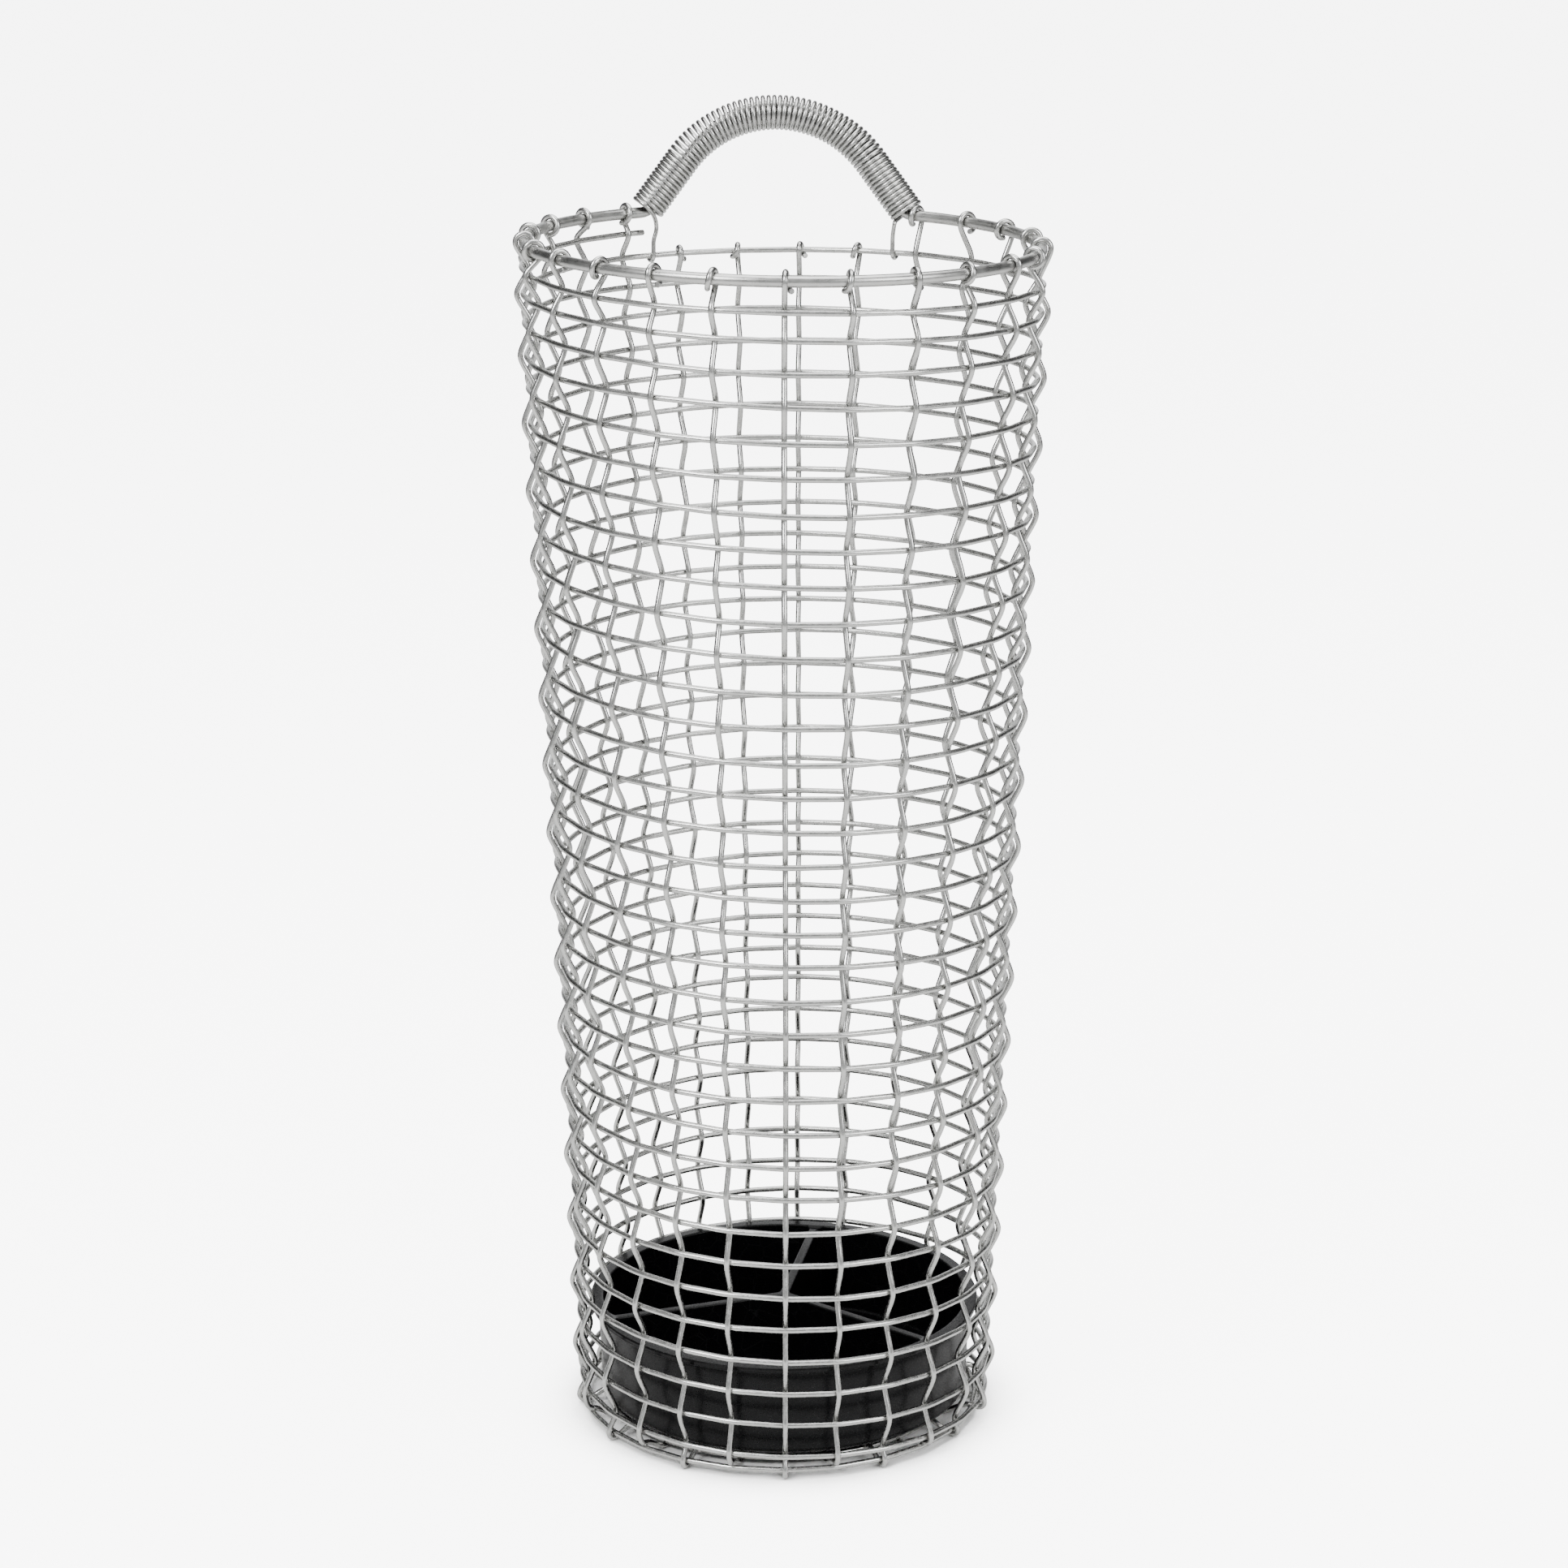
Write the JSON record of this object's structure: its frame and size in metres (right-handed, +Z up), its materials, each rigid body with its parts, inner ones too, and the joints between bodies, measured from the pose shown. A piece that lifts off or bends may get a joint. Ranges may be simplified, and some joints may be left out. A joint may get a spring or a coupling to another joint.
{
  "type": "umbrella stand",
  "caption": "Tall tapered umbrella stand woven from steel wire, with a coil-wrapped carrying handle at the rim and a loose round drip dish divided into three.",
  "frame": {"origin": "on the floor plane, on the basket's axis, under the middle of the hub ring", "axes": "+Z up, +Y to the back where the handle is, +X to the right seen from the front"},
  "size_m": [0.2402, 0.2402, 0.6128],
  "materials": {
    "rod_steel": "satin",
    "wire_steel": "satin",
    "grip_steel": "satin",
    "dish_plastic": "gloss"
  },
  "bodies": {
    "basket": {"rim_rod": "rod_steel", "grip_coil": "grip_steel", "weave_wire": "wire_steel", "hub_ring": "wire_steel", "stake_01": "wire_steel", "stake_02": "wire_steel", "stake_03": "wire_steel", "stake_04": "wire_steel", "stake_05": "wire_steel", "stake_06": "wire_steel", "stake_07": "wire_steel", "stake_08": "wire_steel", "stake_09": "wire_steel", "stake_10": "wire_steel", "stake_11": "wire_steel", "stake_12": "wire_steel", "stake_13": "wire_steel", "stake_14": "wire_steel", "stake_15": "wire_steel", "stake_16": "wire_steel", "stake_17": "wire_steel", "stake_18": "wire_steel", "stake_19": "wire_steel", "stake_20": "wire_steel", "stake_21": "wire_steel", "stake_22": "wire_steel", "stake_23": "wire_steel", "stake_24": "wire_steel", "stake_25": "wire_steel"},
    "drip_dish": {"drip_dish": "dish_plastic"}
  },
  "joints": [
    {"name": "dish_lift", "type": "slide", "parent": "basket", "child": "drip_dish", "axis": [0, 0, 1], "range_m": [0, 0.62]}
  ]
}
